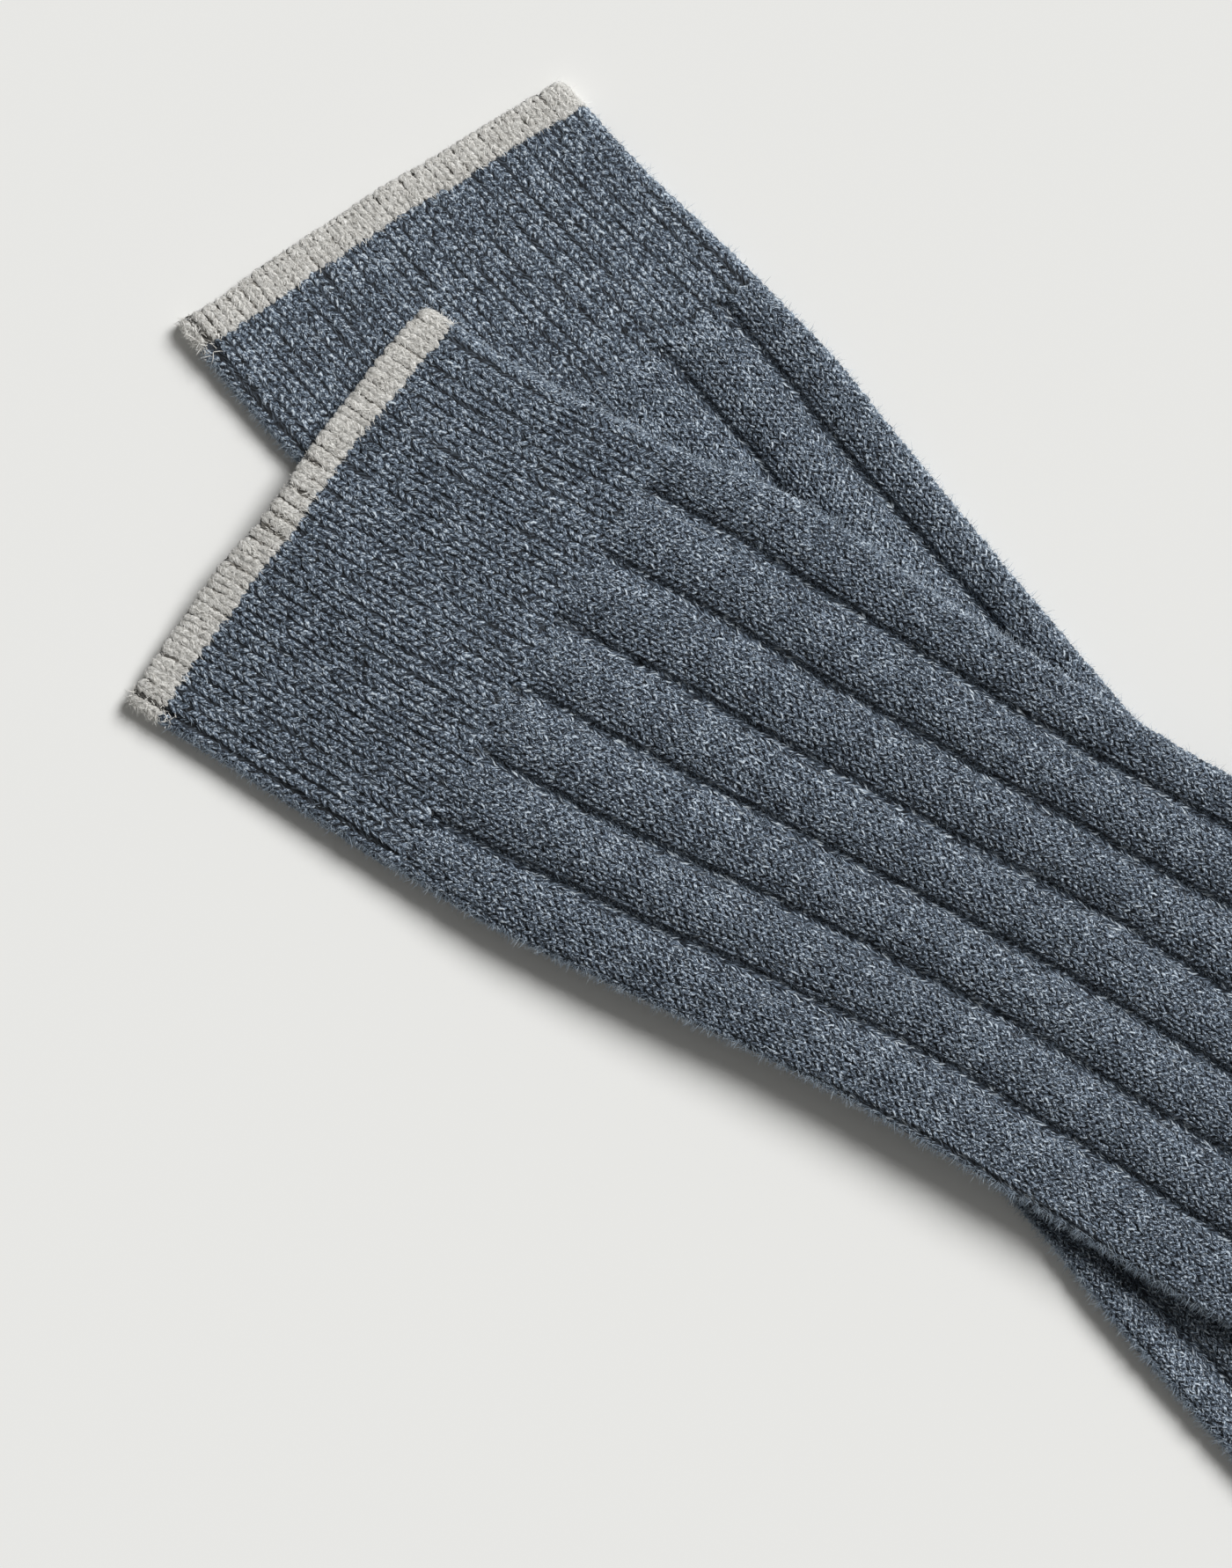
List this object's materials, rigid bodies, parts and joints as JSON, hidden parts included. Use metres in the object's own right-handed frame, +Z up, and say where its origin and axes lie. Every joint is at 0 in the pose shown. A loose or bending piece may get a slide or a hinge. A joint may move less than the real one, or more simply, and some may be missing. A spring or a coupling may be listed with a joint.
{
  "type": "pair of long ribbed knit socks",
  "caption": "Pair of long wide-ribbed knit socks laid flat, one crossed over the other, with ribbed cuffs and pale contrast edges.",
  "frame": {"origin": "on the floor, under the middle of the pair's bounding box", "axes": "+Z up out of the floor the socks lie on, +Y the long way, from the toes towards the welts, +X to the right as seen from above"},
  "size_m": [0.358, 0.4746, 0.0111],
  "materials": {
    "pale_welt_knit": "matt wool knit",
    "blue_cuff_rib": "matt melange wool, 1 by 1 rib",
    "blue_wide_rib": "matt brushed melange wool, wide rib",
    "blue_plain_knit": "matt brushed melange wool, plain knit"
  },
  "bodies": {
    "root": {"under_sock_welt": "pale_welt_knit", "under_sock_cuff": "blue_cuff_rib", "under_sock_leg": "blue_wide_rib", "under_sock_foot": "blue_wide_rib", "under_sock_toe": "blue_plain_knit", "top_sock_welt": "pale_welt_knit", "top_sock_cuff": "blue_cuff_rib", "top_sock_leg": "blue_wide_rib", "top_sock_foot": "blue_wide_rib", "top_sock_toe": "blue_plain_knit"}
  },
  "joints": []
}
